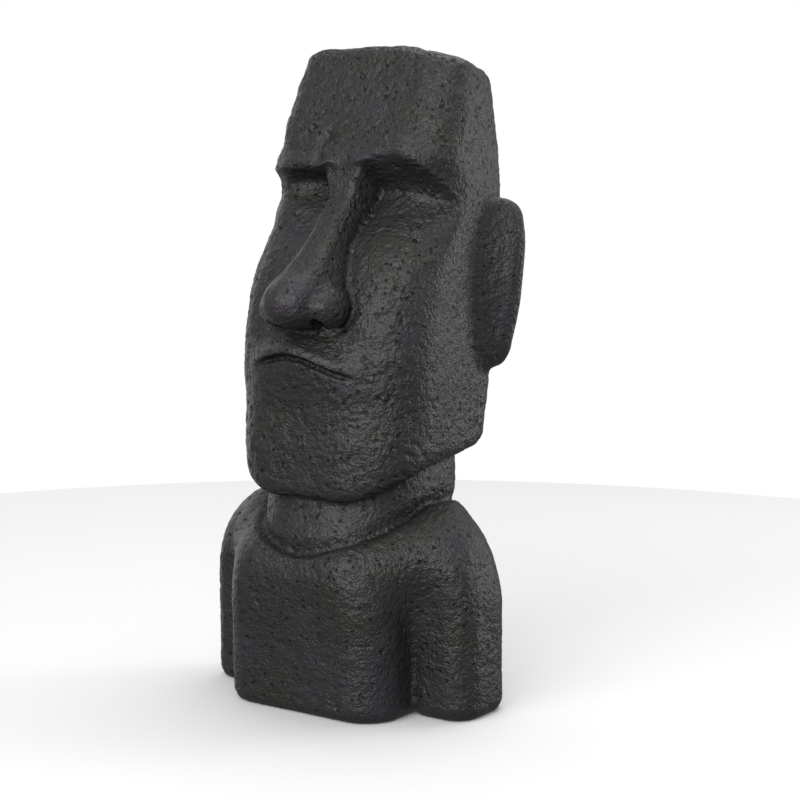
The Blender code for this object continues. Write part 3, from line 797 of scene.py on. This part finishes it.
def build_statue(box):
    """The statue's mesh object, weathered and brought to the box of the solid."""
    corners, quads = lay_skin()
    mesh = bpy.data.meshes.new("moai_cast_stone")
    mesh.from_pydata(corners.tolist(), [], quads.tolist())
    refine_mouth(mesh)
    points = np.empty(len(mesh.vertices) * 3)
    mesh.vertices.foreach_get("co", points)
    points, outward = carve(points.reshape(-1, 3))
    weathered = points + outward * weather(points)[:, None]
    weathered = scale_to_box(weathered, box)
    mesh.vertices.foreach_set("co", weathered.ravel())
    mesh.update()
    statue = bpy.data.objects.new("moai_cast_stone", mesh)
    bpy.context.scene.collection.objects.link(statue)
    thin_out(statue)
    trim_to_box(statue.data, box)
    statue.data.shade_smooth()
    return statue


def linear(code):
    """Linear colour of an sRGB hex code."""
    parts = [int(code[start:start + 2], 16) / 255.0 for start in (0, 2, 4)]
    light = [part / 12.92 if part <= 0.04045 else ((part + 0.055) / 1.055)**2.4
             for part in parts]
    return (*light, 1.0)


def add_node(tree, kind, settings, links):
    """Add a node, set its properties and sockets, and link its inputs."""
    node = tree.nodes.new(kind)
    for name, value in settings.items():
        if name in node.inputs and not hasattr(type(node), name):
            node.inputs[name].default_value = value
        else:
            setattr(node, name, value)
    for name, source in links.items():
        tree.links.new(source, node.inputs[name])
    return node


def set_ramp(node, stops):
    """Give a colour ramp its stops, each a position and a hex code."""
    marks = node.color_ramp.elements
    while len(marks) < len(stops):
        marks.new(0.5)
    for mark, (place, code) in zip(marks, stops):
        mark.position = place
        mark.color = linear(code)


def ranged(tree, source, wanted, given=(0.0, 1.0)):
    """Output that runs over the wanted range while the source runs over the given."""
    limits = {"From Min": given[0], "From Max": given[1], "To Min": wanted[0], "To Max": wanted[1]}
    return add_node(tree, "ShaderNodeMapRange", limits, {"Value": source}).outputs["Result"]


def lumps(tree, place, pattern):
    """Pattern from 0 to 1 of lumps with a size across, a detail and a roughness."""
    look = {"Scale": 1.0 / pattern[0], "Detail": pattern[1], "Roughness": pattern[2]}
    return add_node(tree, "ShaderNodeTexNoise", look, {"Vector": place}).outputs["Fac"]


def stone_colour(tree, place, patches):
    """Grey with brown and plum patches and a fine grain, darker in its hollows as
    painted shade and lighter on its edges, partly as wear and partly as painted highlight."""
    tint = add_node(tree, "ShaderNodeValToRGB", {}, {"Fac": patches})
    set_ramp(tint, TINT_STOPS)
    edges = add_node(tree, "ShaderNodeNewGeometry", {}, {}).outputs["Pointiness"]
    # Painted shade and highlight: colour darker in hollows by pointiness, and lighter on sharp
    # edges, partly wear and partly painted highlight.
    painted_shade_and_edge_wear = ranged(tree, edges, PAINTED_SHADE_AND_EDGE_WEAR_FACTOR, PAINTED_SHADE_AND_EDGE_WEAR_POINTINESS)
    speck = ranged(tree, lumps(tree, place, GRAIN), GRAIN_SHADE)
    shade = add_node(tree, "ShaderNodeMath", {"operation": "MULTIPLY"}, {0: painted_shade_and_edge_wear, 1: speck})
    return add_node(tree, "ShaderNodeVectorMath", {"operation": "SCALE"},
                    {"Vector": tint.outputs["Color"], "Scale": shade.outputs["Value"]})


def open_pores(tree, place):
    """Pattern of pores: 0 in the middle of each and 1 between them."""
    holes = add_node(tree, "ShaderNodeTexVoronoi", {"Scale": 1.0 / PORE_CELL}, {"Vector": place})
    bowl = ranged(tree, holes.outputs["Distance"], (0.0, 1.0), PORE_EDGE)
    chance = add_node(tree, "ShaderNodeSeparateXYZ", {}, {"Vector": holes.outputs["Color"]})
    closed = ranged(tree, chance.outputs["X"], (0.0, 1.0), PORE_CHANCE)
    return add_node(tree, "ShaderNodeMath", {"operation": "MAXIMUM"}, {0: bowl, 1: closed})


def cast_stone():
    """Dark pigmented cast stone: cement and stone dust poured in a mould, then
    brushed and stippled before it set. That gives the eye a satin skin with broken
    highlights on its small bumps, edges painted lighter, partly as wear and partly as
    a painted highlight, hollows and pores darkened as painted shade, and small holes
    where air bubbles broke open."""
    material = bpy.data.materials.new("dark_cast_stone")
    material.use_nodes = True
    tree = material.node_tree
    shader = tree.nodes["Principled BSDF"]
    place = add_node(tree, "ShaderNodeTexCoord", {}, {}).outputs["Object"]
    patches = lumps(tree, place, TINT_PATCH)
    tree.links.new(ranged(tree, patches, SKIN_ROUGHNESS), shader.inputs["Roughness"])
    colour = stone_colour(tree, place, patches).outputs["Vector"]
    pores = open_pores(tree, place).outputs["Value"]
    # Painted shade: the colour is darkened to this share in the middle of each pore.
    pore_painted_shade = ranged(tree, pores, (PORE_PAINTED_SHADE, 1.0))
    pore_shaded_colour = add_node(tree, "ShaderNodeVectorMath", {"operation": "SCALE"},
                     {"Vector": colour, "Scale": pore_painted_shade})
    tree.links.new(pore_shaded_colour.outputs["Vector"], shader.inputs["Base Color"])
    bump = add_node(tree, "ShaderNodeBump", {"Distance": PORE_DEPTH, "Strength": 1.0},
                    {"Height": pores})
    for pattern, depth in ((STIPPLE, STIPPLE_DEPTH), (SAND, SAND_DEPTH)):
        links = {"Height": lumps(tree, place, pattern), "Normal": bump.outputs["Normal"]}
        bump = add_node(tree, "ShaderNodeBump", {"Distance": depth, "Strength": 1.0}, links)
    tree.links.new(bump.outputs["Normal"], shader.inputs["Normal"])
    return material


def make_floor():
    """Plain pale floor of matt studio card. It throws no light back on the statue."""
    bpy.ops.mesh.primitive_circle_add(
        vertices=FLOOR_CORNERS, radius=FLOOR_RADIUS, fill_type="NGON")
    floor = bpy.context.object
    floor.name = "floor"
    material = bpy.data.materials.new("pale_floor")
    material.use_nodes = True
    shader = material.node_tree.nodes["Principled BSDF"]
    shader.inputs["Base Color"].default_value = linear(FLOOR_WHITE)
    shader.inputs["Roughness"].default_value = FLOOR_ROUGHNESS
    floor.data.materials.append(material)
    floor.visible_diffuse = False
    floor.visible_glossy = False


def make_light(name, place, size, power):
    """Soft light panel that faces the statue."""
    panel = bpy.data.lights.new(name, "AREA")
    panel.shape = "RECTANGLE"
    panel.size, panel.size_y = size
    panel.energy = power
    lamp = bpy.data.objects.new(name, panel)
    lamp.location = place
    aim = Vector((0.0, 0.0, 0.5 * HEIGHT)) - Vector(place)
    lamp.rotation_euler = aim.to_track_quat("-Z", "Y").to_euler()
    bpy.context.scene.collection.objects.link(lamp)


def make_camera():
    """Camera at the photograph's place and angle."""
    data = bpy.data.cameras.new("camera")
    data.lens = CAMERA_LENS
    data.sensor_width = CAMERA_SENSOR
    camera = bpy.data.objects.new("camera", data)
    camera.location = CAMERA_PLACE
    tip = math.radians(90.0 - CAMERA_PITCH)
    camera.rotation_euler = (tip, 0.0, math.radians(CAMERA_HEADING))
    bpy.context.scene.collection.objects.link(camera)
    bpy.context.scene.camera = camera


def make_world():
    """White surroundings of a photo studio, plain white where the camera sees them."""
    world = bpy.data.worlds.new("studio")
    world.use_nodes = True
    tree = world.node_tree
    back = tree.nodes["Background"]
    back.inputs["Color"].default_value = (1.0, 1.0, 1.0, 1.0)
    seen = add_node(tree, "ShaderNodeLightPath", {}, {}).outputs["Is Camera Ray"]
    way = add_node(tree, "ShaderNodeTexCoord", {}, {}).outputs["Generated"]
    height = add_node(tree, "ShaderNodeSeparateXYZ", {}, {"Vector": way}).outputs["Z"]
    around = ranged(tree, height, WORLD_STRENGTH, WORLD_BAND)
    level = add_node(tree, "ShaderNodeMapRange", {"To Max": 1.0}, {"Value": seen, "To Min": around})
    tree.links.new(level.outputs["Result"], back.inputs["Strength"])
    bpy.context.scene.world = world
    bpy.context.scene.view_settings.view_transform = "Standard"


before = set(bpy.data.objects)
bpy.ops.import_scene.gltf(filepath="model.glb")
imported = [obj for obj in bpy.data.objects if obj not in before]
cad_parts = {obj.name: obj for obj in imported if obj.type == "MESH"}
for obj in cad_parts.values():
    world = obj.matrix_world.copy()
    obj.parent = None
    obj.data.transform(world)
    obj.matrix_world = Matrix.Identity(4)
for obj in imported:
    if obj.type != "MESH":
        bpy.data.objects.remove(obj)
cad_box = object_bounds()
make_camera()
statue = build_statue(cad_box)
statue.data.materials.clear()
statue.data.materials.append(cast_stone())
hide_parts("moai_statue")
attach(statue, "root")
make_floor()
make_world()
for name, place, size, power in LIGHTS:
    make_light(name, place, size, power)
